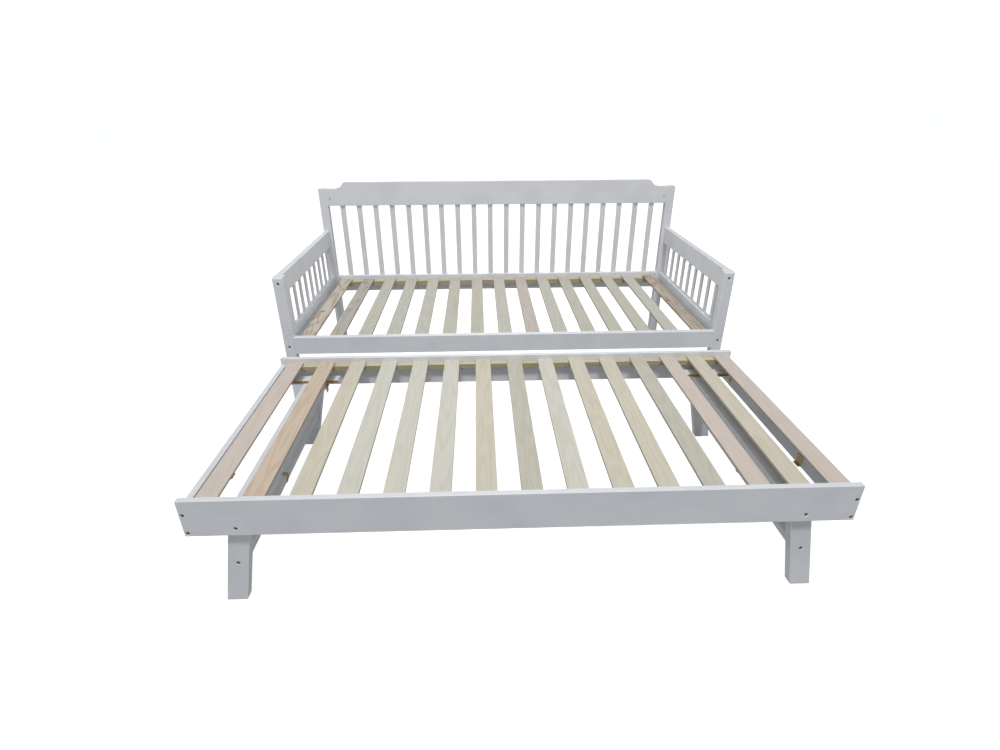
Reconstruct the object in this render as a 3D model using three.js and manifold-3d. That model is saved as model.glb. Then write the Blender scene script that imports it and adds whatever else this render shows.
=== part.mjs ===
// Trundle bed: a white daybed with slatted backrest and arms, and a low second bed
// on folding legs that stands in front of it and stows underneath.
// Millimetres, +Z up. X runs along the bed, +Y points from the front to the backrest.
// The origin is on the floor, in the middle of the whole set.
import * as THREE from 'three';
import { mergeVertices } from 'three/addons/utils/BufferGeometryUtils.js';
import Module from 'manifold-3d';

const wasm = await Module();
wasm.setup();

// ---------------------------------------------------------------- driving dimensions
const fitGap = 0.3; // hairline left between pieces that touch

// Daybed
const bedLength = 2000; // outside of post to outside of post
const bedDepth = 1004; // front face of front posts to back face of back posts
const postSize = 45; // square section of the posts
const railThickness = 28;
const setDepth = 2180; // front of the pulled-out trundle to the back of the daybed
const bedBackY = setDepth / 2;
const bedFrontY = bedBackY - bedDepth;
const postInnerX = bedLength / 2 - postSize;
const frontPostBackY = bedFrontY + postSize;
const backPostFrontY = bedBackY - postSize;

const armTopZ = 676;
const armRailHeight = 85;
const armRound = 10; // rounding of the front post's top front corner
const frontRailBottomZ = 322.5;
const frontRailTopZ = 402;
const panelBottomZ = 325; // underside of the lower side and back rails
const panelRailTopZ = 415; // top of the lower side and back rails
const sidePanelX = 982; // middle of the side panels

const backShoulderZ = 903; // top of the back posts and of the top rail's ends
const backTopRailBottomZ = 812;
const backCrownZ = 938; // raised middle of the top rail
const shoulderLength = 89; // flat shoulder, measured from the outside of the bed
const ogeeLength = 66; // length of the S-curve from shoulder to crown
// where the S-curve turns over, as shares of its length and rise, and its two pull points
const ogeeTurn = { run: 0.3, rise: 0.72, lowPull: { x: 9, z: 3 }, highPull: 12 };

const backSpindleCount = 20;
const backSpindleWidth = 28;
const backSpindleThickness = 12;
const sideSpindleCount = 9;
const sideSpindleWidth = 24;
const sideSpindleThickness = 10;

const slatThickness = 10;
const slatWidth = 62;
const slatCount = 15;
const bedSlatTopZ = 396;
const bedSlatPitch = 128.6;
const bedLedger = { depth: 24, height: 26 };
const bedLedgerEndX = 950;

// Trundle
const trundleLength = 1900;
const trundleDepth = 978;
const boardThickness = 20;
const boardTopZ = 395;
const boardBottomZ = 274;
const trundleFrontY = -setDepth / 2;
const trundleBackY = trundleFrontY + trundleDepth;
const trundleSlatTopZ = 377;
const trundleLedger = { depth: 22, height: 20, endGap: 1 };
const firstTrundleSlatX = -886;
const trundleSlatPitch = 130; // the first slats are evenly spaced
const lateSlatPitch = 116; // the last two are nailed closer together
const lateSlats = 2;

// Folding leg frames (given for the right-hand end, mirrored to the left)
const hingeRail = { innerX: 768, outerX: 842, bottomZ: 276, topZ: 320 };
const legThickness = 35;
const legSetBack = 26; // from the front board's face to the front leg's face
const legTopInnerX = 780;
const legTopZ = hingeRail.bottomZ - fitGap;
const legSplay = THREE.MathUtils.degToRad(12.7);
const gussetFace = 6; // upright face under the hinge
const gussetRun = 14; // height over which the gusset dies into the leg
const legBoltZ = 148;
const stretcher = { across: 40, along: 32 };
const hingeLength = 34;
const hingeKnuckle = { radius: 3, gap: 1 };
const hingeLeaf = { thickness: 1.8, height: 24 };

// Fasteners sunk in the wood
const boltHole = { radius: 6, depth: 7 };
const boardBoltHole = { radius: 5.6, depth: 5 };
const boltInset = 22; // bolts in the front posts, from the outside of the bed
const armBoltZ = 647;
const railBoltZ = 357;
const cornerBoltX = 940;
const cornerBoltsZ = [347, 285];
const hingeRailBoltX = 806;
const hingeRailBoltZ = 298;
const barrelNut = { radius: 5, length: 28, fromFace: 62, x: 802 };
const barrelNutBore = { radius: 5.3, depth: 54 };
const roundSides = 24;

// ---------------------------------------------------------------- finishes
const finish = (color, roughness, metalness = 0) =>
  new THREE.MeshStandardMaterial({ color, roughness, metalness });
const whitePaint = () => finish(0xe4e6e8, 0.5);
const bareSlat = () => finish(0xcfc5b4, 0.75);
const bareLedger = () => finish(0xc4b896, 0.8);
const brass = () => finish(0xb08d4f, 0.35, 1);
const zincSteel = () => finish(0x9a9da0, 0.4, 1);

// ---------------------------------------------------------------- helpers
const bed = new THREE.Group();

function addMesh(name, geometry, material) {
  const mesh = new THREE.Mesh(geometry, material);
  mesh.name = name;
  bed.add(mesh);
  return mesh;
}

// A board given by its two extents along each axis.
function boardGeometry([x0, x1], [y0, y1], [z0, z1]) {
  const geometry = new THREE.BoxGeometry(x1 - x0, y1 - y0, z1 - z0);
  return geometry.translate((x0 + x1) / 2, (y0 + y1) / 2, (z0 + z1) / 2);
}

function addBoard(name, xs, ys, zs, material) {
  return addMesh(name, boardGeometry(xs, ys, zs), material);
}

// An outline in the XZ plane, extruded from y0 to y1.
function extrudeAlongY(shape, y0, y1) {
  const geometry = new THREE.ExtrudeGeometry(shape, {
    depth: y1 - y0, bevelEnabled: false, curveSegments: 6,
  });
  return geometry.rotateX(Math.PI / 2).translate(0, y1, 0);
}

// An outline in the YZ plane, extruded from x0 to x1.
function extrudeAlongX(shape, x0, x1) {
  const geometry = new THREE.ExtrudeGeometry(shape, {
    depth: x1 - x0, bevelEnabled: false, curveSegments: 8,
  });
  return geometry.rotateX(Math.PI / 2).rotateZ(Math.PI / 2).translate(x0, 0, 0);
}

function rodAlongX(radius, length) {
  return new THREE.CylinderGeometry(radius, radius, length, roundSides).rotateZ(Math.PI / 2);
}

function rodAlongY(radius, length) {
  return new THREE.CylinderGeometry(radius, radius, length, roundSides);
}

function toSolid(geometry) {
  const plain = geometry.clone();
  plain.deleteAttribute('normal');
  plain.deleteAttribute('uv');
  const merged = mergeVertices(plain, 1e-3);
  return new wasm.Manifold(new wasm.Mesh({
    numProp: 3,
    vertProperties: new Float32Array(merged.attributes.position.array),
    triVerts: new Uint32Array(merged.index.array),
  }));
}

function toGeometry(solid) {
  const mesh = solid.getMesh();
  const geometry = new THREE.BufferGeometry();
  geometry.setAttribute('position', new THREE.BufferAttribute(mesh.vertProperties, 3));
  geometry.setIndex(new THREE.BufferAttribute(mesh.triVerts, 1));
  return geometry;
}

function joined(geometries) {
  return toGeometry(geometries.map(toSolid).reduce((all, next) => all.add(next)));
}

function drilled(geometry, holes) {
  return toGeometry(holes.map(toSolid).reduce((wood, hole) => wood.subtract(hole), toSolid(geometry)));
}

// The cutter for a blind round hole in a face that looks along Y.
function holeInFace(x, faceY, z, { radius, depth }) {
  return rodAlongY(radius, 2 * depth).translate(x, faceY, z);
}

const mirrored = (side, low, high) => (side > 0 ? [low, high] : [-high, -low]);
const sides = [['left', -1], ['right', 1]];

// ---------------------------------------------------------------- daybed posts
for (const [label, side] of sides) {
  const xs = mirrored(side, postInnerX, bedLength / 2);

  const outline = new THREE.Shape();
  outline.moveTo(bedFrontY, 0);
  outline.lineTo(frontPostBackY, 0);
  outline.lineTo(frontPostBackY, armTopZ);
  outline.lineTo(bedFrontY + armRound, armTopZ);
  outline.absarc(bedFrontY + armRound, armTopZ - armRound, armRound, Math.PI / 2, Math.PI, false);
  outline.lineTo(bedFrontY, 0);
  const boltX = side * (bedLength / 2 - boltInset);
  const boltHoles = [armBoltZ, railBoltZ].map((z) => holeInFace(boltX, bedFrontY, z, boltHole));
  addMesh(`front_${label}_post`, drilled(extrudeAlongX(outline, ...xs), boltHoles), whitePaint());

  addBoard(`back_${label}_post`, xs, [backPostFrontY, bedBackY], [0, backShoulderZ], whitePaint());
}

// ---------------------------------------------------------------- daybed rails and panels
const betweenPosts = [-postInnerX + fitGap, postInnerX - fitGap];
const backRailYs = [backPostFrontY, backPostFrontY + railThickness];

addBoard('front_rail', betweenPosts, [bedFrontY, bedFrontY + railThickness],
  [frontRailBottomZ, frontRailTopZ], whitePaint());

// Top rail with flat shoulders that sweep up to a raised middle.
{
  const [leftX, rightX] = betweenPosts;
  const shoulderX = bedLength / 2 - shoulderLength;
  const crownX = shoulderX - ogeeLength;
  const turnX = crownX + ogeeLength * ogeeTurn.run;
  const turnZ = backShoulderZ + (backCrownZ - backShoulderZ) * ogeeTurn.rise;
  const lowPullX = turnX + ogeeTurn.lowPull.x;
  const lowPullZ = backShoulderZ + ogeeTurn.lowPull.z;
  const highPullX = crownX + ogeeTurn.highPull;
  const outline = new THREE.Shape();
  outline.moveTo(leftX, backTopRailBottomZ);
  outline.lineTo(rightX, backTopRailBottomZ);
  outline.lineTo(rightX, backShoulderZ);
  outline.lineTo(shoulderX, backShoulderZ);
  outline.quadraticCurveTo(lowPullX, lowPullZ, turnX, turnZ);
  outline.quadraticCurveTo(highPullX, backCrownZ, crownX, backCrownZ);
  outline.lineTo(-crownX, backCrownZ);
  outline.quadraticCurveTo(-highPullX, backCrownZ, -turnX, turnZ);
  outline.quadraticCurveTo(-lowPullX, lowPullZ, -shoulderX, backShoulderZ);
  outline.lineTo(leftX, backShoulderZ);
  outline.lineTo(leftX, backTopRailBottomZ);
  addMesh('back_top_rail', extrudeAlongY(outline, ...backRailYs), whitePaint());
}

// Centres of bars spread evenly between two faces, with equal gaps.
function evenBars(from, to, count, width) {
  const pitch = (to - from + width) / (count + 1);
  return Array.from({ length: count }, (_, i) => from - width / 2 + pitch * (i + 1));
}

const glueDepth = 8; // how far a spindle runs into its rail

// Backrest: lower rail with its spindles glued in; their tops meet the top rail.
{
  const middleY = (backRailYs[0] + backRailYs[1]) / 2;
  const pieces = [boardGeometry(betweenPosts, backRailYs, [panelBottomZ, panelRailTopZ])];
  for (const x of evenBars(-postInnerX, postInnerX, backSpindleCount, backSpindleWidth)) {
    pieces.push(boardGeometry(
      [x - backSpindleWidth / 2, x + backSpindleWidth / 2],
      [middleY - backSpindleThickness / 2, middleY + backSpindleThickness / 2],
      [panelRailTopZ - glueDepth, backTopRailBottomZ - fitGap],
    ));
  }
  addMesh('back_spindle_panel', joined(pieces), whitePaint());
}

// Side panels: arm rail, spindles and lower rail glued up as one frame.
for (const [label, side] of sides) {
  const x = side * sidePanelX;
  const railXs = [x - railThickness / 2, x + railThickness / 2];
  const ys = [frontPostBackY + fitGap, backPostFrontY - fitGap];
  const armBottomZ = armTopZ - armRailHeight;
  const pieces = [
    boardGeometry(railXs, ys, [armBottomZ, armTopZ]),
    boardGeometry(railXs, ys, [panelBottomZ, panelRailTopZ]),
  ];
  for (const y of evenBars(frontPostBackY, backPostFrontY, sideSpindleCount, sideSpindleWidth)) {
    pieces.push(boardGeometry(
      [x - sideSpindleThickness / 2, x + sideSpindleThickness / 2],
      [y - sideSpindleWidth / 2, y + sideSpindleWidth / 2],
      [panelRailTopZ - glueDepth, armBottomZ + glueDepth],
    ));
  }
  addMesh(`${label}_arm_panel`, joined(pieces), whitePaint());
}

// ---------------------------------------------------------------- daybed slats
{
  const ledgerTopZ = bedSlatTopZ - slatThickness - fitGap;
  const ledgerZs = [ledgerTopZ - bedLedger.height, ledgerTopZ];
  const ledgerXs = [-bedLedgerEndX, bedLedgerEndX];
  const insideFrontY = bedFrontY + railThickness + fitGap;
  const insideBackY = backPostFrontY - fitGap;
  addBoard('bed_front_ledger', ledgerXs, [insideFrontY, insideFrontY + bedLedger.depth],
    ledgerZs, bareLedger());
  addBoard('bed_back_ledger', ledgerXs, [insideBackY - bedLedger.depth, insideBackY],
    ledgerZs, bareLedger());
  for (let i = 0; i < slatCount; i += 1) {
    const x = (i - (slatCount - 1) / 2) * bedSlatPitch;
    addBoard(`bed_slat_${i + 1}`, [x - slatWidth / 2, x + slatWidth / 2],
      [insideFrontY, insideBackY], [bedSlatTopZ - slatThickness, bedSlatTopZ], bareSlat());
  }
}

// ---------------------------------------------------------------- trundle frame
const insideFrontY = trundleFrontY + boardThickness;
const insideBackY = trundleBackY - boardThickness;
const acrossTrundle = [insideFrontY + fitGap, insideBackY - fitGap];

for (const [name, ys, faceY] of [
  ['trundle_front_board', [trundleFrontY, insideFrontY], trundleFrontY],
  ['trundle_rear_board', [insideBackY, trundleBackY], trundleBackY],
]) {
  const board = boardGeometry([-trundleLength / 2, trundleLength / 2], ys, [boardBottomZ, boardTopZ]);
  const holes = [];
  for (const [, side] of sides) {
    for (const z of cornerBoltsZ) {
      holes.push(holeInFace(side * cornerBoltX, faceY, z, boardBoltHole));
    }
    holes.push(holeInFace(side * hingeRailBoltX, faceY, hingeRailBoltZ, boardBoltHole));
  }
  addMesh(name, drilled(board, holes), whitePaint());
}

{
  const slatBottomZ = trundleSlatTopZ - slatThickness;
  const supportTopZ = slatBottomZ - fitGap;
  for (const [label, side] of sides) {
    const xs = mirrored(side, trundleLength / 2 - boardThickness, trundleLength / 2);
    addBoard(`trundle_${label}_side`, xs, acrossTrundle, [boardBottomZ, supportTopZ], whitePaint());
  }
  const ledgerEndX = trundleLength / 2 - boardThickness - trundleLedger.endGap;
  const ledgerZs = [supportTopZ - trundleLedger.height, supportTopZ];
  const [frontY, backY] = acrossTrundle;
  addBoard('trundle_front_ledger', [-ledgerEndX, ledgerEndX],
    [frontY, frontY + trundleLedger.depth], ledgerZs, bareLedger());
  addBoard('trundle_rear_ledger', [-ledgerEndX, ledgerEndX],
    [backY - trundleLedger.depth, backY], ledgerZs, bareLedger());

  for (let i = 0; i < slatCount; i += 1) {
    const even = Math.min(i, slatCount - 1 - lateSlats);
    const x = firstTrundleSlatX + even * trundleSlatPitch + (i - even) * lateSlatPitch;
    addBoard(`trundle_slat_${i + 1}`, [x - slatWidth / 2, x + slatWidth / 2],
      acrossTrundle, [slatBottomZ, trundleSlatTopZ], bareSlat());
  }
}

// ---------------------------------------------------------------- hinge rails and barrel nut
const nutY = insideFrontY + barrelNut.fromFace;
for (const [label, side] of sides) {
  const xs = mirrored(side, hingeRail.innerX, hingeRail.outerX);
  const rail = boardGeometry(xs, acrossTrundle, [hingeRail.bottomZ, hingeRail.topZ]);
  const bore = rodAlongX(barrelNutBore.radius, 2 * barrelNutBore.depth)
    .translate(side * hingeRail.innerX, nutY, hingeRailBoltZ);
  addMesh(`${label}_hinge_rail`, drilled(rail, [bore]), whitePaint());
}
addMesh('left_rail_barrel_nut', rodAlongX(barrelNut.radius, barrelNut.length), zincSteel())
  .position.set(-barrelNut.x, nutY, hingeRailBoltZ);

// ---------------------------------------------------------------- folding leg frames
function legOutline(side) {
  const lean = Math.tan(legSplay);
  const innerX = (z) => legTopInnerX + (legTopZ - z) * lean;
  const outerX = (z) => hingeRail.outerX + (legTopZ - z) * lean;
  const gussetBottomZ = legTopZ - gussetRun;
  const points = [
    [hingeRail.innerX, legTopZ],
    [hingeRail.innerX, legTopZ - gussetFace],
    [innerX(gussetBottomZ), gussetBottomZ],
    [innerX(0), 0],
    [outerX(0), 0],
    [outerX(legTopZ), legTopZ],
  ];
  const ordered = side > 0 ? points : [...points].reverse();
  return new THREE.Shape(ordered.map(([x, z]) => new THREE.Vector2(side * x, z)));
}

const legMiddleX = (hingeRail.outerX + legTopInnerX) / 2;
const legBoltX = legMiddleX + (legTopZ - legBoltZ) * Math.tan(legSplay);
const frontLegYs = [trundleFrontY + legSetBack, trundleFrontY + legSetBack + legThickness];
const rearLegYs = [trundleBackY - legSetBack - legThickness, trundleBackY - legSetBack];

for (const [label, side] of sides) {
  for (const [end, ys, faceY] of [
    ['front', frontLegYs, frontLegYs[0]],
    ['rear', rearLegYs, rearLegYs[1]],
  ]) {
    const leg = extrudeAlongY(legOutline(side), ...ys);
    const hole = holeInFace(side * legBoltX, faceY, legBoltZ, boltHole);
    addMesh(`${label}_${end}_leg`, drilled(leg, [hole]), whitePaint());

    const hingeY = (ys[0] + ys[1]) / 2;
    const knuckleX = hingeRail.innerX - hingeKnuckle.radius - hingeKnuckle.gap;
    const knuckle = rodAlongY(hingeKnuckle.radius, hingeLength)
      .translate(side * knuckleX, hingeY, hingeRail.bottomZ);
    const leafOuterX = hingeRail.innerX - fitGap;
    const leafXs = mirrored(side, leafOuterX - hingeLeaf.thickness, leafOuterX);
    const leaf = boardGeometry(leafXs, [hingeY - hingeLength / 2, hingeY + hingeLength / 2],
      [hingeRail.bottomZ, hingeRail.bottomZ + hingeLeaf.height]);
    addMesh(`${label}_${end}_hinge`, joined([knuckle, leaf]), brass());
  }
  const stretcherLength = rearLegYs[0] - frontLegYs[1] - 2 * fitGap;
  const bar = new THREE.BoxGeometry(stretcher.across, stretcherLength, stretcher.along);
  const rail = addMesh(`${label}_leg_stretcher`, bar, whitePaint());
  rail.position.set(side * legBoltX, (frontLegYs[1] + rearLegYs[0]) / 2, legBoltZ);
  rail.rotation.y = -side * legSplay;
}

export default bed;
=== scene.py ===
# %% [markdown]
# # A white trundle bed
# The bed is two slatted bases in painted pine: a daybed with a spindle back and arms, and a low
# second bed that stands in front of it on folding legs. The shapes of the timber come from the
# CAD model, which is loaded first and never moved. This lesson adds what a joiner and a painter
# would add after sawing: eased edges, paint, bare grain, bolts, screws, hinge leaves and brackets.

import math

import bmesh
import bpy
from mathutils import Matrix, Vector


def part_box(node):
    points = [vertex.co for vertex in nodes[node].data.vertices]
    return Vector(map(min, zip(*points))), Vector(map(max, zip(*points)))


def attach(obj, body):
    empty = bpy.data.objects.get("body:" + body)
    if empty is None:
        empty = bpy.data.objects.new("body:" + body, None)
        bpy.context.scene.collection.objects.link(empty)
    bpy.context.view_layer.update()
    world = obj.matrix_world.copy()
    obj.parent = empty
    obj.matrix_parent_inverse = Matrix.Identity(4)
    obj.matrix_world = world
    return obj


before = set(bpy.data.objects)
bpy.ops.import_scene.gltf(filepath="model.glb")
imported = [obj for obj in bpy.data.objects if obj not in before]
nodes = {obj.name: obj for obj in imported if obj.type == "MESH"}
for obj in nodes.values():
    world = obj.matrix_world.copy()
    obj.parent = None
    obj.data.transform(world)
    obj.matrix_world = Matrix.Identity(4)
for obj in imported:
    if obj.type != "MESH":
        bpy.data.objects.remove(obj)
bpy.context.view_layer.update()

# %% [markdown]
# ## Units and colours
# Joiners work in millimetres and Blender in metres, so one function turns one into the other.
# Paint charts give colours as screen values, while a shader adds up light. A second function
# turns a chart's hex value into the linear numbers that the shader needs.

# %% Units and colours
def mm(*lengths):
    """Millimetres as metres: one number, or a tuple of several."""
    metres = tuple(length / 1000 for length in lengths)
    return metres if len(metres) > 1 else metres[0]


def srgb(hex_colour):
    """A hex colour as four linear numbers."""
    shown = [int(hex_colour[i:i + 2], 16) / 255 for i in (1, 3, 5)]
    return [c / 12.92 if c <= 0.04045 else ((c + 0.055) / 1.055) ** 2.4 for c in shown] + [1.0]


print("A chart white in linear light:", [round(c, 3) for c in srgb("#E3E5E8")])

# %% [markdown]
# ## The camera
# The viewer stands a little more than a metre in front of the low bed, and a wide lens takes in
# the whole set from there. The view looks down by about 28 degrees. A small lens shift moves the
# bed within the frame and leaves its perspective as it is.

# %% The camera
EYE = (-0.1155, -2.3617, 1.3575)
EYE_TURN = (61.708, 0.198, -1.929)  # degrees about X, Y and Z
LENS_MM = 20.75
SHIFT = (0.0022, 0.0302)

lens = bpy.data.cameras.new("room_camera")
lens.lens = LENS_MM
lens.shift_x, lens.shift_y = SHIFT
camera = bpy.data.objects.new("room_camera", lens)
camera.location = EYE
camera.rotation_euler = [math.radians(turn) for turn in EYE_TURN]
bpy.context.scene.collection.objects.link(camera)
bpy.context.scene.camera = camera
print("Lens", LENS_MM, "mm, eye height", EYE[2], "m")

# %% [markdown]
# ## Building a material from nodes
# Every finish below is a small graph of nodes. One function adds a node, sets its properties and
# fills its inputs, either with a plain value or with a link from another node. A second one opens
# a new material and hands over the surface shader and the place of each point on the timber. A
# Mix node has sockets for numbers, vectors and colours, so the four that a colour mix uses are
# given names here.

# %% A node and a new material
FACTOR, FIRST, SECOND, MIXED = 0, 6, 7, 2  # sockets of a Mix node that mixes colours


def add(tree, kind, settings=None, inputs=None):
    """Adds a shader node. An input may be a value or another node's output."""
    made = tree.nodes.new("ShaderNode" + kind)
    for name, value in (settings or {}).items():
        setattr(made, name, value)
    for name, value in (inputs or {}).items():
        if isinstance(value, bpy.types.NodeSocket):
            tree.links.new(value, made.inputs[name])
        else:
            made.inputs[name].default_value = value
    return made


def new_finish(name, roughness, metallic=0.0):
    """A material with its surface shader, and the point on the piece in metres."""
    finish = bpy.data.materials.new(name)
    finish.use_nodes = True
    tree = finish.node_tree
    tree.nodes.clear()
    surface = add(tree, "BsdfPrincipled", inputs={"Roughness": roughness, "Metallic": metallic})
    add(tree, "OutputMaterial", inputs={"Surface": surface.outputs[0]})
    point = add(tree, "TexCoord").outputs["Object"]
    return finish, tree, surface, point


def stretched(axis, across, along):
    """Pattern scale for features of two sizes in millimetres: across the grain and along it."""
    return [1 / mm(along) if axis == name else 1 / mm(across) for name in "xyz"]


print("Grain 2 mm wide and 60 mm long:", [round(s) for s in stretched("x", 2, 60)])

# %% [markdown]
# ## White painted pine
# The frames are pine, primed and sprayed with satin white. Sprayed paint dries with a fine orange
# peel of about 2 mm, and the soft early wood sinks below the hard late wood, so long grain lines
# still show through as faint ridges. The white is not even: where the coat is thinner it is a
# little greyer. The pattern runs along each board, so one finish is made for each direction. Each
# noise runs from 0 to 1 about a middle of 0.5, so a range picks the part of it that shows.

# %% White painted pine
PAINT, THIN_PAINT = "#E3E5E8", "#D8DADE"
PEEL_MM, RIDGE_MM, RIDGE_RUN_MM, CLOUD_MM = 2.2, 1.6, 90, 160
SATIN, GRAIN_DEPTH_MM = 0.42, 0.4
PEEL_BUMP, RIDGE_BUMP = 0.12, 0.25
THIN_COAT = {"From Min": 0.40, "From Max": 0.66, "To Max": 0.7}
WORN_RIDGE = {"From Min": 0.56, "From Max": 0.75, "To Max": 0.45}
SHEEN = {"From Min": 0.3, "From Max": 0.7, "To Min": 0.36, "To Max": 0.5}


def painted_pine(axis):
    """Satin white on pine whose grain runs along one axis."""
    finish, tree, surface, point = new_finish("painted_pine_along_" + axis, SATIN)
    cloud = add(tree, "TexNoise", inputs={"Vector": point, "Scale": 1 / mm(CLOUD_MM), "Detail": 3})
    lie = add(tree, "Mapping", inputs={"Vector": point,
                                       "Scale": stretched(axis, RIDGE_MM, RIDGE_RUN_MM)})
    ridge = add(tree, "TexNoise", inputs={"Vector": lie.outputs[0], "Scale": 1, "Detail": 2})
    peel = add(tree, "TexNoise", inputs={"Vector": point, "Scale": 1 / mm(PEEL_MM), "Detail": 1})
    thin = add(tree, "MapRange", inputs={"Value": cloud.outputs[0], **THIN_COAT})
    worn = add(tree, "MapRange", inputs={"Value": ridge.outputs[0], **WORN_RIDGE})
    coat = add(tree, "Math", {"operation": "MAXIMUM"}, {0: thin.outputs[0], 1: worn.outputs[0]})
    white = add(tree, "Mix", {"data_type": "RGBA"},
                {FACTOR: coat.outputs[0], FIRST: srgb(PAINT), SECOND: srgb(THIN_PAINT)})
    sheen = add(tree, "MapRange", inputs={"Value": cloud.outputs[0], **SHEEN})
    low = add(tree, "Bump", inputs={"Height": peel.outputs[0], "Strength": PEEL_BUMP,
                                    "Distance": mm(GRAIN_DEPTH_MM)})
    bump = add(tree, "Bump", inputs={"Height": ridge.outputs[0], "Normal": low.outputs[0],
                                     "Strength": RIDGE_BUMP, "Distance": mm(GRAIN_DEPTH_MM)})
    for socket, source in (("Base Color", white.outputs[MIXED]), ("Roughness", sheen.outputs[0]),
                           ("Normal", bump.outputs[0])):
        tree.links.new(source, surface.inputs[socket])
    return finish


painted = {axis: painted_pine(axis) for axis in "xyz"}
print("Painted finishes:", [finish.name for finish in painted.values()])

# %% [markdown]
# ## The edges of the paint
# A sprayer's coat is thinnest on a sharp arris, and handling rubs it. The eased edges get their
# own finish: a lighter white, a painted highlight for the light that rounded edges catch, with a
# few small chips of wear down to the yellow wood. The bevel of each board carries it, so the
# highlight and the wear follow every edge without being painted by hand.

# %% Paint edge: painted highlight and chips
# The edge white is lighter than the paint: a painted highlight, not a lighter coat.
CHIP_MM, CHIP_WOOD, EDGE_HIGHLIGHT_WHITE = 7, "#CDBE9C", "#EAECEF"
POLISHED, RAW_WOOD = 0.34, 0.75  # roughness of the rubbed paint and of the wood in a chip
CHIPPED = {"From Min": 0.69, "From Max": 0.72}  # only the highest peaks of the noise chip off


def highlit_chipped_edge():
    """Paint lightened as a painted highlight, with sparse chips of wear, for the eased edges."""
    finish, tree, surface, point = new_finish("paint_edge_highlight_and_chips", POLISHED)
    speck = add(tree, "TexNoise", inputs={"Vector": point, "Scale": 1 / mm(CHIP_MM), "Detail": 4,
                                          "Roughness": 0.6})
    chip = add(tree, "MapRange", inputs={"Value": speck.outputs[0], **CHIPPED})
    colour = add(tree, "Mix", {"data_type": "RGBA"},
                 {FACTOR: chip.outputs[0], FIRST: srgb(EDGE_HIGHLIGHT_WHITE), SECOND: srgb(CHIP_WOOD)})
    rough = add(tree, "MapRange", inputs={"Value": chip.outputs[0], "To Min": POLISHED,
                                          "To Max": RAW_WOOD})
    tree.links.new(colour.outputs[MIXED], surface.inputs["Base Color"])
    tree.links.new(rough.outputs[0], surface.inputs["Roughness"])
    return finish


edge_finish = highlit_chipped_edge()
print("Edge finish:", edge_finish.name)

# %% [markdown]
# ## Bare slats
# The slats are plain-sawn poplar, planed and left bare. Growth rings cut at a shallow angle show
# as long nested arches 5 to 10 mm apart. A smooth noise, stretched along the slat, is a landscape
# whose contour lines look the same, so a sine of that noise draws the rings, one for each turn.
# Fine fibres go on top, and knots are small dark discs that a cell pattern scatters. The sides of
# each piece are darkened by how far they turn from up or down: painted shade for the shadow on them.

# %% Poplar for the slats
FIBRE_MM, FIBRE_RUN_MM = 1.3, 70
RING_FIELD_MM, RING_RUN_MM, RING_RADIANS = 46, 520, 46
KNOT_FIELD_MM, KNOT_BROWN = 150, "#7C634A"
KNOT_CORE = {"From Min": 0.13, "From Max": 0.03}  # distance from a cell's centre, in cells
PLANED, FIBRE_BUMP, FIBRE_DEPTH_MM = 0.68, 0.3, 0.25
LATE_RING = {"From Min": -0.4, "From Max": 1.0}
DARK_FIBRE = {"From Min": 0.45, "From Max": 0.75, "To Max": 0.35}
# Painted shade: the sides of a slat or ledger are darkened to stand in for their shadow.
PAINTED_SIDE_SHADE = {"From Min": 0.3, "From Max": 0.8, "To Min": 0.72, "To Max": 1}


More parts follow.
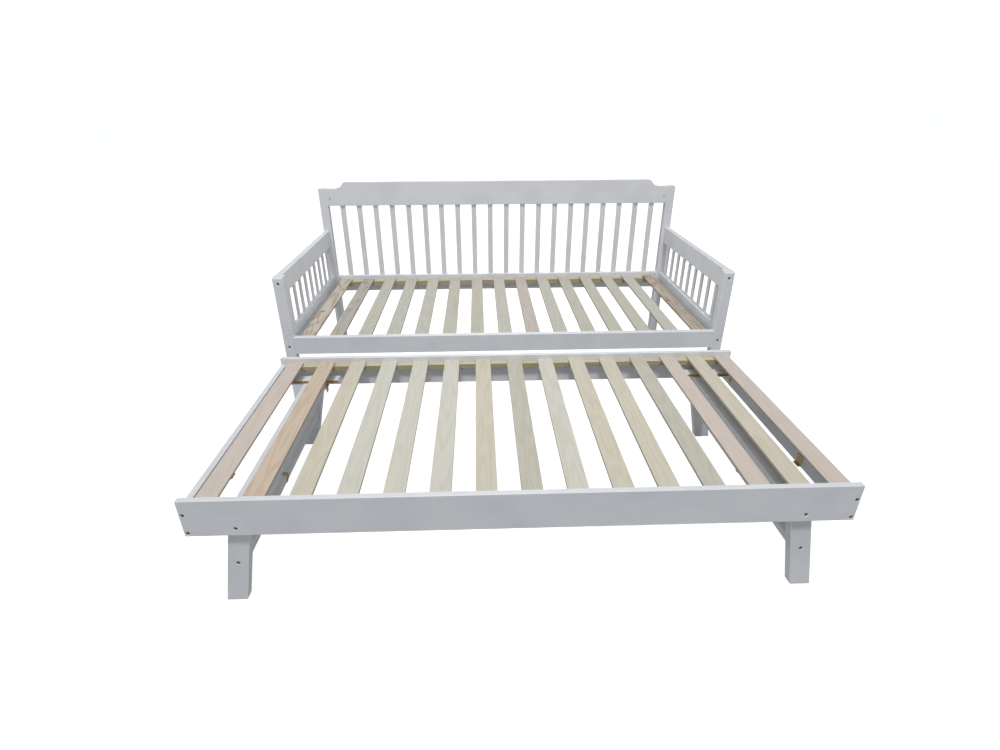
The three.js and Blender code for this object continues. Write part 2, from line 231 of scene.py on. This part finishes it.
def bare_wood(name, axis, sapwood, latewood, figure=0.35, knots=0.0):
    """Planed bare wood: two tones, the strength of the rings and the share of knots; painted shade
    darkens the sides.
    """
    finish, tree, surface, point = new_finish(name, PLANED)
    lie = add(tree, "Mapping", inputs={"Vector": point,
                                       "Scale": stretched(axis, FIBRE_MM, FIBRE_RUN_MM)})
    fibre = add(tree, "TexNoise", inputs={"Vector": lie.outputs[0], "Scale": 1, "Detail": 3})
    land = add(tree, "Mapping", inputs={"Vector": point,
                                        "Scale": stretched(axis, RING_FIELD_MM, RING_RUN_MM)})
    height = add(tree, "TexNoise", inputs={"Vector": land.outputs[0], "Scale": 1, "Detail": 1})
    turn = add(tree, "Math", {"operation": "MULTIPLY"}, {0: height.outputs[0], 1: RING_RADIANS})
    wave = add(tree, "Math", {"operation": "SINE"}, {0: turn.outputs[0]})
    ring = add(tree, "MapRange", inputs={"Value": wave.outputs[0], "To Max": figure, **LATE_RING})
    hair = add(tree, "MapRange", inputs={"Value": fibre.outputs[0], **DARK_FIBRE})
    dark = add(tree, "Math", {"operation": "ADD", "use_clamp": True},
               {0: ring.outputs[0], 1: hair.outputs[0]})
    colour = add(tree, "Mix", {"data_type": "RGBA"},
                 {FACTOR: dark.outputs[0], FIRST: srgb(sapwood), SECOND: srgb(latewood)})
    if knots:
        cell = add(tree, "TexVoronoi", {"voronoi_dimensions": "2D"},
                   {"Vector": point, "Scale": 1 / mm(KNOT_FIELD_MM)})
        knot = add(tree, "MapRange", inputs={"Value": cell.outputs["Distance"], "To Max": knots,
                                             **KNOT_CORE})
        colour = add(tree, "Mix", {"data_type": "RGBA"},
                     {FACTOR: knot.outputs[0], FIRST: colour.outputs[MIXED],
                      SECOND: srgb(KNOT_BROWN)})
    # Painted shade: faces that turn away from up and down get a darker colour.
    facing = add(tree, "SeparateXYZ", inputs={0: add(tree, "NewGeometry").outputs["Normal"]})
    flat = add(tree, "Math", {"operation": "ABSOLUTE"}, {0: facing.outputs["Z"]})
    side = add(tree, "MapRange", inputs={"Value": flat.outputs[0], **PAINTED_SIDE_SHADE})
    shade = add(tree, "Mix", {"data_type": "RGBA", "blend_type": "MULTIPLY"},
                {FACTOR: 1.0, FIRST: colour.outputs[MIXED], SECOND: side.outputs[0]})
    bump = add(tree, "Bump", inputs={"Height": fibre.outputs[0], "Strength": FIBRE_BUMP,
                                     "Distance": mm(FIBRE_DEPTH_MM)})
    tree.links.new(shade.outputs[MIXED], surface.inputs["Base Color"])
    tree.links.new(bump.outputs[0], surface.inputs["Normal"])
    return finish


print("Rings from the lowest to the highest point:", round(RING_RADIANS / math.tau, 1))

# %% [markdown]
# ## A stack of planks
# The slats come in a handful of tones. Poplar is cream to pale grey-green and its heart can be rosy
# or ochre. The darker copies of the pale, cream and rose tones are painted shade for the daybed,
# whose slats stand in dimmer light; the dull cream is also a tone of its own on two low slats. The
# streaked slats and the ledgers are pine, which has darker rings. Each tone is named by its look,
# and gets two colours: the wood between the rings and the late wood of the rings.

# %% The planks
woods = {
    "pale": bare_wood("pale_poplar", "y", "#D2D0C3", "#C0BBAA", figure=0.3),
    "cream": bare_wood("cream_poplar", "y", "#D0CAB9", "#BDB49F", figure=0.3),
    "rose": bare_wood("rose_poplar", "y", "#D1C5BB", "#BFB0A2", figure=0.28),
    # Darker copies of the pale, cream and rose tones: painted shade for the daybed's slats.
    "shaded pale": bare_wood("shaded_pale_poplar", "y", "#C4C2B7", "#B2AEA0", figure=0.3),
    "dull and shaded cream": bare_wood("dull_and_shaded_cream_poplar", "y", "#C3C0B2", "#B0AA99", figure=0.3),
    "shaded rose": bare_wood("shaded_rose_poplar", "y", "#C5BBB0", "#B3A598", figure=0.3),
    "ochre": bare_wood("ochre_poplar", "y", "#CFC0AB", "#BBA28A", figure=0.45),
    "grey": bare_wood("weathered_poplar", "y", "#B8B3AA", "#9B9185", figure=0.45, knots=0.4),
    "streaked": bare_wood("streaked_pine", "y", "#C9C2B5", "#A28D75", figure=0.7, knots=0.85),
    "dull streaked": bare_wood("dull_streaked_pine", "y", "#B9B1A3", "#978166", figure=0.7,
                               knots=0.85),
    "ledger": bare_wood("ledger_pine", "x", "#CFC4A0", "#B5A47C", figure=0.45),
}
print("Bare woods:", sorted(woods))

# %% [markdown]
# ## Metals
# The folding legs hang on brass-plated steel: a thin yellow plating over pressed plate, satin
# rather than polished. The bolts are steel with a dark bronze finish, and the small screws are
# zinc-plated. Plating keeps the metal's colour in its reflections, so each one is fully metallic,
# with a faint cloud in its roughness where hands and drivers have been.

# %% Brass, bronze and zinc
RUBBED_CLOUD = {"From Min": 0.3, "From Max": 0.7}


def plated(name, bright, dull, smooth, rough, cloud_mm=6):
    """Plated steel: two tones and the two ends of its roughness."""
    finish, tree, surface, point = new_finish(name, smooth, metallic=1.0)
    cloud = add(tree, "TexNoise", inputs={"Vector": point, "Scale": 1 / mm(cloud_mm), "Detail": 4})
    tint = add(tree, "Mix", {"data_type": "RGBA"},
               {FACTOR: cloud.outputs[0], FIRST: srgb(bright), SECOND: srgb(dull)})
    rub = add(tree, "MapRange", inputs={"Value": cloud.outputs[0], "To Min": smooth,
                                        "To Max": rough, **RUBBED_CLOUD})
    tree.links.new(tint.outputs[MIXED], surface.inputs["Base Color"])
    tree.links.new(rub.outputs[0], surface.inputs["Roughness"])
    return finish


brass = plated("brass_plated_steel", "#EDD6A0", "#C49A5A", smooth=0.32, rough=0.5)
bronze = plated("dark_bronze_bolt_steel", "#B0A0A3", "#7A6A6E", smooth=0.42, rough=0.6,
                cloud_mm=3)
zinc = plated("zinc_plated_steel", "#B9BCC0", "#8C9094", smooth=0.3, rough=0.5, cloud_mm=3)
print("Metals:", brass.name, bronze.name, zinc.name)

# %% [markdown]
# ## Easing the timber
# Sawn boards are sanded so that no edge is sharp. The CAD triangles are first welded and the flat
# ones dissolved, which leaves whole faces, and a bevel then rounds each edge by 1 to 2 mm. At the
# end the large faces are told to keep their own direction, so they shade flat. All of this is
# done with modifiers, so the CAD mesh itself stays as it was.

# %% Ease and finish the CAD pieces
WELD, FLAT, SHARP, BEVEL_STEPS = mm(0.02), math.radians(0.6), math.radians(32), 3
LARGEST_FACE_WINS = 100
STURDY_EASE, SLENDER_EASE, SLAT_EASE, LEDGER_EASE, PLATE_EASE = 1.8, 1.4, 1.5, 1.2, 0.5  # mm


def ease(piece, width_mm, edge_slot=-1):
    """Weld, clean and round the edges of one piece."""
    if "custom_normal" in piece.data.attributes:
        piece.data.attributes.remove(piece.data.attributes["custom_normal"])
    piece.data.shade_smooth()
    weld = piece.modifiers.new("weld", "WELD")
    weld.merge_threshold = WELD
    clean = piece.modifiers.new("clean", "DECIMATE")
    clean.decimate_type, clean.angle_limit = "DISSOLVE", FLAT
    bevel = piece.modifiers.new("eased", "BEVEL")
    bevel.width, bevel.segments = mm(width_mm), BEVEL_STEPS
    bevel.limit_method, bevel.angle_limit = "ANGLE", SHARP
    bevel.use_clamp_overlap, bevel.material = False, edge_slot
    even = piece.modifiers.new("flat_faces", "WEIGHTED_NORMAL")
    even.mode, even.weight = "FACE_AREA", LARGEST_FACE_WINS


def finish_node(name, finish, width_mm, edge=None):
    """Give a CAD node its finish, and its eased edges theirs."""
    piece = nodes[name]
    piece.data.materials.clear()
    piece.data.materials.append(finish)
    if edge is not None:
        piece.data.materials.append(edge)
    ease(piece, width_mm, 1 if edge is not None else -1)


along_x = ["front_rail", "back_top_rail", "trundle_front_board", "trundle_rear_board"]
along_y = ["trundle_left_side", "trundle_right_side", "left_hinge_rail", "right_hinge_rail",
           "left_leg_stretcher", "right_leg_stretcher"]
along_z = ["front_left_post", "front_right_post", "back_left_post", "back_right_post",
           "back_spindle_panel", "left_arm_panel", "right_arm_panel",
           "left_front_leg", "left_rear_leg", "right_front_leg", "right_rear_leg"]
SLENDER = {"back_spindle_panel", "left_arm_panel", "right_arm_panel"}
for axis, names in (("x", along_x), ("y", along_y), ("z", along_z)):
    for name in names:
        width = SLENDER_EASE if name in SLENDER else STURDY_EASE
        finish_node(name, painted[axis], width, edge_finish)
print("Painted pieces:", len(along_x + along_y + along_z))

# %% [markdown]
# ## Fifteen slats a bed
# The slats come from many planks. Most are pale, some have a rosy heart, one low slat is ochre,
# and the two outer slats of the daybed are streaked and knotty. Most of the daybed's slats take the
# darker copies of the tones, painted shade for the dimmer light that falls on them. Each slat cuts
# the pattern at its own place, so slats of one wood still differ.

# %% Finish the slats and ledgers
# The daybed's darker tones are painted shade for its dimmer light.
BED_WOODS = ["streaked", "grey", "dull and shaded cream", "shaded pale", "shaded pale", "dull and shaded cream", "dull and shaded cream",
             "shaded pale", "shaded rose", "shaded pale", "dull and shaded cream", "dull and shaded cream", "dull and shaded cream",
             "shaded pale", "dull streaked"]
TRUNDLE_WOODS = ["rose", "ochre", "cream", "pale", "pale", "pale", "cream", "dull and shaded cream", "pale",
                 "cream", "cream", "dull and shaded cream", "rose", "cream", "rose"]
for prefix, kinds in (("bed_slat_", BED_WOODS), ("trundle_slat_", TRUNDLE_WOODS)):
    for number, kind in enumerate(kinds, 1):
        finish_node(f"{prefix}{number}", woods[kind], SLAT_EASE)
for name in ("bed_front_ledger", "bed_back_ledger", "trundle_front_ledger", "trundle_rear_ledger"):
    finish_node(name, woods["ledger"], LEDGER_EASE)
print("Slats:", len(BED_WOODS) + len(TRUNDLE_WOODS))

# %% [markdown]
# ## Hinges and a barrel nut
# Each folding leg hangs on a pressed hinge, whose edges are rolled by half a millimetre. The bolt
# of the left leg rail ends in a barrel nut, a zinc-plated cross dowel inside the rail.

# %% Finish the hinges and the barrel nut
for end in ("front", "rear"):
    for side in ("left", "right"):
        finish_node(f"{side}_{end}_hinge", brass, PLATE_EASE)
finish_node("left_rail_barrel_nut", zinc, PLATE_EASE)
print("Hinges in", brass.name)

# %% [markdown]
# ## Screw and bolt heads
# A bolt head is a turned disc with a chamfered rim and a recess that the driver fits: six sides for
# a bolt, a cross for a screw, a straight slot for a cross nut. It could be cut with booleans, but
# it is cleaner to draw the two outlines, fill the flat ring between them and sink the inner one.

# %% Outlines of the recesses
def hexagon(radius):
    """Six corners of a socket."""
    return [(radius * math.cos(math.tau * i / 6), radius * math.sin(math.tau * i / 6))
            for i in range(6)]


def cross(arm, half):
    """Twelve corners of a cross recess."""
    quarter = [(arm, -half), (arm, half), (half, half)]
    corners = []
    for turn in range(4):
        c, s = round(math.cos(turn * math.pi / 2)), round(math.sin(turn * math.pi / 2))
        corners += [(x * c - y * s, x * s + y * c) for x, y in quarter]
    return corners


def slot_cut(arm, half):
    """Four corners of a straight driver slot."""
    return [(-arm, -half), (arm, -half), (arm, half), (-arm, half)]


print("Corners of a hexagon, a cross and a slot:",
      len(hexagon(1)), len(cross(1, 0.3)), len(slot_cut(1, 0.2)))

# %% [markdown]
# ## One head, and many
# A head is lofted from its rings: foot, shoulder, the rim above the chamfer, and the recess. The
# ring between rim and recess is the only hard face, and a triangle fill closes it. Each group of
# equal heads becomes one piece that rides with the timber it is driven into.

# %% Draw a head and place many
RIM_STEPS, CHAMFER_SHARE = 24, 0.25


def add_head(mesh, centre, facing, radius, height, recess, sunk):
    """A closed head of this radius and height whose top faces `facing` at `centre`."""
    turn = Vector(facing).to_track_quat("Z", "Y").to_matrix().to_4x4()
    place = Matrix.Translation(Vector(centre)) @ turn
    chamfer = min(height, radius) * CHAMFER_SHARE

    def loop(points, z):
        return [mesh.verts.new(place @ Vector((x, y, z))) for x, y in points]

    def circle(r):
        return [(r * math.cos(math.tau * i / RIM_STEPS), r * math.sin(math.tau * i / RIM_STEPS))
                for i in range(RIM_STEPS)]

    foot, shoulder = loop(circle(radius), -height), loop(circle(radius), -chamfer)
    top = loop(circle(radius - chamfer), 0)
    mouth, bottom = loop(recess, 0), loop(recess, -sunk)
    for low, high in ((foot, shoulder), (shoulder, top), (bottom, mouth)):
        for i in range(len(low)):
            j = (i + 1) % len(low)
            mesh.faces.new((low[i], low[j], high[j], high[i]))
    mesh.faces.new(foot[::-1])
    mesh.faces.new(bottom)
    rings = [mesh.edges.get((ring[i], ring[(i + 1) % len(ring)]))
             for ring in (top, mouth) for i in range(len(ring))]
    bmesh.ops.triangle_fill(mesh, use_beauty=True, use_dissolve=False, edges=rings)


def place_mesh(name, mesh, finish, body):
    """Turn a bmesh into a piece that rides on a CAD body."""
    bmesh.ops.recalc_face_normals(mesh, faces=mesh.faces)
    data = bpy.data.meshes.new(name)
    mesh.to_mesh(data)
    mesh.free()
    data.materials.append(finish)
    piece = bpy.data.objects.new(name, data)
    bpy.context.scene.collection.objects.link(piece)
    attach(piece, body)
    return piece


def heads(name, finish, body, places, facing, kind):
    """Many heads of one kind as one piece."""
    mesh = bmesh.new()
    for centre in places:
        add_head(mesh, centre, facing, **kind)
    place_mesh(name, mesh, finish, body)
    print(name, len(places), "heads")


print("Steps round a rim:", RIM_STEPS)

# %% [markdown]
# ## Bolts that hold the frames
# Each front post is bolted to its arm, twice, through a counterbore. The trundle's front and rear
# boards are bolted to its side boards and to the rails that carry the legs, and each leg is bolted
# to its stretcher. The heads sit 2 mm below the paint, so each one shows as a dark dot.

# %% Socket bolts in their counterbores
HEAD_DEPTH = mm(2.0)
SOCKET = hexagon(mm(2.6))
POST_BOLT = {"radius": mm(5.7), "height": mm(3.5), "recess": SOCKET, "sunk": mm(2.2)}
BOARD_BOLT = {"radius": mm(5.3), "height": mm(2.8), "recess": SOCKET, "sunk": mm(2.0)}
POST_BOLT_ZS = mm(647, 357)
BOARD_BOLTS = [mm(940, 347), mm(940, 285), mm(806, 298)]  # X and Z, mirrored for the left
LEG_BOLT_X, LEG_BOLT_Z = mm(839.8, 148)
TOWARD_FRONT, TOWARD_REAR = (0, -1, 0), (0, 1, 0)
SIDES = (("left", -1), ("right", 1))

post_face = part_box("front_left_post")[0].y + HEAD_DEPTH
post_x = (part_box("front_left_post")[0].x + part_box("front_left_post")[1].x) / 2
heads("front_post_bolts", bronze, "root",
      [(side * post_x, post_face, z) for side in (1, -1) for z in POST_BOLT_ZS],
      TOWARD_FRONT, POST_BOLT)

front_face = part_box("trundle_front_board")[0].y + HEAD_DEPTH
rear_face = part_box("trundle_rear_board")[1].y - HEAD_DEPTH
for name, y, facing in (("trundle_front_bolts", front_face, TOWARD_FRONT),
                        ("trundle_rear_bolts", rear_face, TOWARD_REAR)):
    heads(name, bronze, "trundle",
          [(sign * x, y, z) for _, sign in SIDES for x, z in BOARD_BOLTS], facing, BOARD_BOLT)

for side, sign in SIDES:
    leg_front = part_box(f"{side}_front_leg")[0].y + HEAD_DEPTH
    leg_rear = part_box(f"{side}_rear_leg")[1].y - HEAD_DEPTH
    for end, y, facing in (("front", leg_front, TOWARD_FRONT), ("rear", leg_rear, TOWARD_REAR)):
        heads(f"{side}_{end}_leg_bolt", bronze, f"{side}_legs",
              [(sign * LEG_BOLT_X, y, LEG_BOLT_Z)], facing, POST_BOLT)

# %% [markdown]
# ## Cross nuts and rail screws
# The back rail is pulled onto its posts by bolts that end in cross nuts. Only the slotted end of
# each nut shows. Two small countersunk screws hold each end of the lower rail. They stand a hair
# proud, as a driven screw does in soft wood.

# %% Cross nuts and rail screws
SCREW_CROSS = cross(mm(1.5), mm(0.45))
CROSS_NUT = {"radius": mm(5), "height": mm(3), "recess": slot_cut(mm(3.6), mm(0.7)),
             "sunk": mm(1.2)}
RAIL_SCREW = {"radius": mm(3.6), "height": mm(2), "recess": SCREW_CROSS, "sunk": mm(1.0)}
PROUD = mm(0.3)  # how far a head stands out of the wood
CROSS_NUT_X, CROSS_NUT_Z = mm(940, 852)
RAIL_SCREW_XS, RAIL_SCREW_Z = mm(944, 918), mm(397)

rail_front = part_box("back_top_rail")[0].y - PROUD
heads("back_rail_cross_nuts", zinc, "root",
      [(sign * CROSS_NUT_X, rail_front, CROSS_NUT_Z) for _, sign in SIDES],
      TOWARD_FRONT, CROSS_NUT)
heads("back_lower_rail_screws", zinc, "root",
      [(sign * x, rail_front, RAIL_SCREW_Z) for _, sign in SIDES for x in RAIL_SCREW_XS],
      TOWARD_FRONT, RAIL_SCREW)

# %% [markdown]
# ## Screws in the slats and the ledger
# One screw goes down through each end of every slat, into the middle of the ledger below. The low
# bed's rear ledger is screwed to its board at five places, with bronzed screws.

# %% Slat and ledger screws
SLATS = len(BED_WOODS)
SLAT_SCREW = {**RAIL_SCREW, "radius": mm(3.2)}
LEDGER_SCREW = {**RAIL_SCREW, "radius": mm(4)}
SLAT_PROUD = mm(0.2)
LEDGER_SCREW_XS, LEDGER_SCREW_Z = mm(-850, -194, 239, 640, 850), mm(346)
UP = (0, 0, 1)


def slat_screws(name, body, prefix, front_ledger, rear_ledger):
    """One screw through each end of every slat, into the middle of the ledger."""
    ys = [sum(corner.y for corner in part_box(ledger)) / 2 for ledger in (front_ledger, rear_ledger)]
    places = []
    for number in range(1, SLATS + 1):
        low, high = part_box(f"{prefix}{number}")
        places += [((low.x + high.x) / 2, y, high.z + SLAT_PROUD) for y in ys]
    heads(name, zinc, body, places, UP, SLAT_SCREW)


slat_screws("bed_slat_screws", "root", "bed_slat_", "bed_front_ledger", "bed_back_ledger")
slat_screws("trundle_slat_screws", "trundle", "trundle_slat_", "trundle_front_ledger",
            "trundle_rear_ledger")
ledger_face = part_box("trundle_rear_ledger")[0].y - SLAT_PROUD
heads("trundle_ledger_screws", bronze, "trundle",
      [(x, ledger_face, LEDGER_SCREW_Z) for x in LEDGER_SCREW_XS], TOWARD_FRONT, LEDGER_SCREW)

# %% [markdown]
# ## Straps over the leg rails
# Brass-plated steel stiffens the low bed where its legs fold. At each rear corner a flat bar is
# bent once: its short leg lies against the side board and its long leg is screwed down on the leg
# rail. A bent bar is the outline of the bend, drawn once and given its width, with a small bevel
# for the pressed edge. The boards that it lies on are measured first.

# %% A bent bar
STRAP, GAP = mm(3.0), mm(0.2)  # thickness of the plate, and the hairline under it
rail_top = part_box("left_hinge_rail")[1].z + GAP
side_inner = abs(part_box("trundle_left_side")[1].x) - GAP


def bent_bar(mesh, outline, y0, y1):
    """A closed bar: an outline in X and Z, given a width along Y."""
    front = [mesh.verts.new((x, y0, z)) for x, z in outline]
    back = [mesh.verts.new((x, y1, z)) for x, z in outline]
    for i in range(len(outline)):
        j = (i + 1) % len(outline)
        mesh.faces.new((front[i], front[j], back[j], back[i]))
    mesh.faces.new(front[::-1])
    mesh.faces.new(back)


def bar_piece(name, finish, body, outline, sign, y0, y1, edge_mm):
    """A bent bar as a piece; its outline is given for the right and mirrored for the left."""
    mesh = bmesh.new()
    bent_bar(mesh, [(sign * x, z) for x, z in outline], y0, y1)
    ease(place_mesh(name, mesh, finish, body), edge_mm)


print("Leg rail top", round(rail_top, 4), "m, side boards' inner faces", round(side_inner, 4), "m")

# %% Straps at the rear corners
STRAP_WIDTH, STRAP_REACH, STRAP_DROP = mm(18, 705, 290)
STRAP_Y, STRAP_SCREW_XS = mm(-211), mm(789, 822)
STRAP_SCREW = {"radius": mm(3), "height": mm(1.5), "recess": SCREW_CROSS, "sunk": mm(0.8)}
SCREW_RISE = mm(0.4)
PRESSED_EDGE = 0.6  # mm
for side, sign in SIDES:
    bar_piece(f"{side}_rear_strap", brass, "trundle",
              [(side_inner, STRAP_DROP), (side_inner, rail_top + STRAP),
               (STRAP_REACH, rail_top + STRAP), (STRAP_REACH, rail_top),
               (side_inner - STRAP, rail_top), (side_inner - STRAP, STRAP_DROP)],
              sign, STRAP_Y - STRAP_WIDTH / 2, STRAP_Y + STRAP_WIDTH / 2, PRESSED_EDGE)
    heads(f"{side}_rear_strap_screws", zinc, "trundle",
          [(sign * x, STRAP_Y, rail_top + STRAP + SCREW_RISE) for x in STRAP_SCREW_XS],
          UP, STRAP_SCREW)

# %% [markdown]
# ## Angles on the side boards
# Further forward two screws hold a small angle of the same plate against the inside of each side
# board, and its lower edge turns in. It is the same kind of bent bar, with a shorter outline.

# %% Side angles
ANGLE_BOTTOM, ANGLE_TOP, ANGLE_REACH = mm(277, 312, 918)
ANGLE_Y0, ANGLE_Y1 = mm(-822, -790)
ANGLE_SCREW_ZS = mm(293, 304)
PLATE_SCREW = {"radius": mm(2.6), "height": mm(1.2), "recess": SCREW_CROSS, "sunk": mm(0.6)}
for side, sign in SIDES:
    bar_piece(f"{side}_side_angle", brass, "trundle",
              [(side_inner, ANGLE_BOTTOM), (side_inner, ANGLE_TOP),
               (side_inner - STRAP, ANGLE_TOP), (side_inner - STRAP, ANGLE_BOTTOM + STRAP),
               (ANGLE_REACH, ANGLE_BOTTOM + STRAP), (ANGLE_REACH, ANGLE_BOTTOM)],
              sign, ANGLE_Y0, ANGLE_Y1, PRESSED_EDGE)
    heads(f"{side}_side_angle_screws", zinc, "trundle",
          [(sign * (side_inner - STRAP - SCREW_RISE), (ANGLE_Y0 + ANGLE_Y1) / 2, z)
           for z in ANGLE_SCREW_ZS], (-sign, 0, 0), PLATE_SCREW)

# %% [markdown]
# ## Clips round the stretchers
# A brass clip is pressed over each leg stretcher, where it catches the legs when they are folded.
# The stretcher leans with its legs, so the clip is drawn square, as a U of thin plate that is open
# at the bottom, and then turned to the stretcher's own angle about its middle.

# %% Stretcher clips
SPLAY = math.radians(12.7)
CLIP_Y0, CLIP_Y1, CLIP_PLATE, CLIP_GAP = mm(-640, -622, 1.6, 0.3)
STRETCHER_HALF = mm(20, 16)
CLIP_EDGE = 0.3  # mm
for side, sign in SIDES:
    half_x, half_z = (half + CLIP_GAP for half in STRETCHER_HALF)
    out_x, out_z = half_x + CLIP_PLATE, half_z + CLIP_PLATE
    square = [(-half_x, -half_z), (-half_x, half_z), (half_x, half_z), (half_x, -half_z),
              (out_x, -half_z), (out_x, out_z), (-out_x, out_z), (-out_x, -half_z)]
    turned = [(LEG_BOLT_X + x * math.cos(SPLAY) - z * math.sin(SPLAY),
               LEG_BOLT_Z + x * math.sin(SPLAY) + z * math.cos(SPLAY)) for x, z in square]
    bar_piece(f"{side}_stretcher_clip", brass, f"{side}_legs", turned, sign,
              CLIP_Y0, CLIP_Y1, CLIP_EDGE)
print("Clips turned by", round(math.degrees(SPLAY), 1), "degrees")

# %% [markdown]
# ## Gussets at the rear corners
# Behind each rear strap a thin painted plate closes the corner between the rear board and the leg
# rail. It is a plain board, so four corners and a bevel are enough.

# %% Painted gussets
GUSSET_TOP, GUSSET_END = rail_top + mm(4), mm(926)
GUSSET_Y0, GUSSET_Y1, GUSSET_EDGE = *mm(-200, -155), 0.8
for side, sign in SIDES:
    bar_piece(f"{side}_rear_gusset", painted["x"], "trundle",
              [(GUSSET_END, rail_top), (GUSSET_END, GUSSET_TOP), (STRAP_REACH, GUSSET_TOP),
               (STRAP_REACH, rail_top)], sign, GUSSET_Y0, GUSSET_Y1, GUSSET_EDGE)
print("Gussets: 2")

# %% [markdown]
# ## The moving hinge leaves
# A butt hinge has two leaves. The fixed ones come with the CAD model, with their knuckles, and the
# other one of each pair is screwed to the leg and turns with it. It hangs just inside the leg's
# top edge.

# %% Leg hinge leaves
LEAF, LEAF_FACE = mm(1.6, 767.8)
LEAF_BOTTOM, LEAF_TOP = mm(252, 271)
LEAF_INSET, LEAF_EDGE = mm(2), 0.4
LEAF_SCREW_YS, LEAF_SCREW_Z = mm(9, 25), mm(261)
for side, sign in SIDES:
    for end in ("front", "rear"):
        low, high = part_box(f"{side}_{end}_hinge")
        bar_piece(f"{side}_{end}_leg_leaf", brass, f"{side}_legs",
                  [(LEAF_FACE, LEAF_BOTTOM), (LEAF_FACE, LEAF_TOP),
                   (LEAF_FACE - LEAF, LEAF_TOP), (LEAF_FACE - LEAF, LEAF_BOTTOM)],
                  sign, low.y + LEAF_INSET, high.y - LEAF_INSET, LEAF_EDGE)
        heads(f"{side}_{end}_leg_leaf_screws", zinc, f"{side}_legs",
              [(sign * (LEAF_FACE - LEAF - PROUD), low.y + y, LEAF_SCREW_Z)
               for y in LEAF_SCREW_YS], (-sign, 0, 0), PLATE_SCREW)

# %% [markdown]
# ## Floor and surround
# The studio is a pale floor and a white surround. White paper shows white to the eye while it
# throws back only part of the light, so the floor adds a little glow of its own for the eye and
# none for the bed. The surround does the same: it looks white and lights the bed only weakly.

# %% Floor and surround
FLOOR_SIZE, FLOOR_DROP = 30.0, mm(0.5)
FLOOR_COLOUR, FLOOR_GLOW, MATT, DULL_GLOSS = "#BEBFC1", 0.86, 0.9, 0.1
SURROUND, SURROUND_LIGHT, SURROUND_GLOW = "#F4F7FC", 0.23, 1.1


def seen_by_eye(tree, plain, glow):
    """A value that is `glow` for the eye's own rays and `plain` for light that bounces."""
    ray = add(tree, "LightPath").outputs["Is Camera Ray"]
    return add(tree, "MapRange", inputs={"Value": ray, "To Min": plain,
                                         "To Max": glow}).outputs[0]


floor_mesh = bmesh.new()
bmesh.ops.create_grid(floor_mesh, x_segments=1, y_segments=1, size=FLOOR_SIZE / 2)
floor_data = bpy.data.meshes.new("studio_floor")
floor_mesh.to_mesh(floor_data)
floor_mesh.free()
floor = bpy.data.objects.new("studio_floor", floor_data)
floor.location.z = -FLOOR_DROP
bpy.context.scene.collection.objects.link(floor)
floor_finish, tree, surface, _ = new_finish("pale_floor", MATT)
surface.inputs["Base Color"].default_value = srgb(FLOOR_COLOUR)
surface.inputs["Specular IOR Level"].default_value = DULL_GLOSS
surface.inputs["Emission Color"].default_value = (1, 1, 1, 1)
tree.links.new(seen_by_eye(tree, 0.0, FLOOR_GLOW), surface.inputs["Emission Strength"])
floor_data.materials.append(floor_finish)

world = bpy.data.worlds.new("studio")
world.use_nodes = True
bpy.context.scene.world = world
sky = world.node_tree.nodes["Background"]
sky.inputs["Color"].default_value = srgb(SURROUND)
world.node_tree.links.new(seen_by_eye(world.node_tree, SURROUND_LIGHT, SURROUND_GLOW),
                          sky.inputs["Strength"])
print("Floor", FLOOR_SIZE, "m square, surround", SURROUND)

# %% [markdown]
# ## Soft light
# A soft panel hangs overhead, tilted towards the backrest. A bank of lamps stands high in front,
# and it puts the short shadow on the legs just under the front board. Three weak, low fill lights
# come from the left, the right and behind, because the insides of the arms and the back of the
# bed face neither the panel nor the bank.

# %% Lights
FILL_SPREAD, FILL_TILT = 30, 76  # degrees


def soft_sun(name, strength, spread, tilt, turn):
    """Light from far off that falls evenly on the whole floor, softened by its spread."""
    light = bpy.data.lights.new(name, "SUN")
    light.energy, light.angle = strength, math.radians(spread)
    lamp = bpy.data.objects.new(name, light)
    lamp.rotation_euler = (math.radians(tilt), 0, math.radians(turn))
    bpy.context.scene.collection.objects.link(lamp)


def soft_panel(name, size, watts, place, tilt):
    """A square panel under the ceiling, tilted from straight down towards the backrest."""
    light = bpy.data.lights.new(name, "AREA")
    light.shape, light.size, light.energy = "SQUARE", size, watts
    lamp = bpy.data.objects.new(name, light)
    lamp.location = place
    lamp.rotation_euler.x = math.radians(tilt)
    bpy.context.scene.collection.objects.link(lamp)


soft_panel("ceiling_panel", size=1.8, watts=26, place=(0.0, -0.9, 3.0), tilt=52)
soft_sun("front_bank", strength=1.48, spread=10, tilt=26, turn=-8)
for side, strength, turn in (("left", 0.62, -90), ("right", 0.62, 90), ("rear", 0.5, 180)):
    soft_sun(f"{side}_fill", strength, FILL_SPREAD, FILL_TILT, turn)
bpy.context.scene.view_settings.view_transform = "Standard"
print("Lights:", sorted(light.name for light in bpy.data.lights))
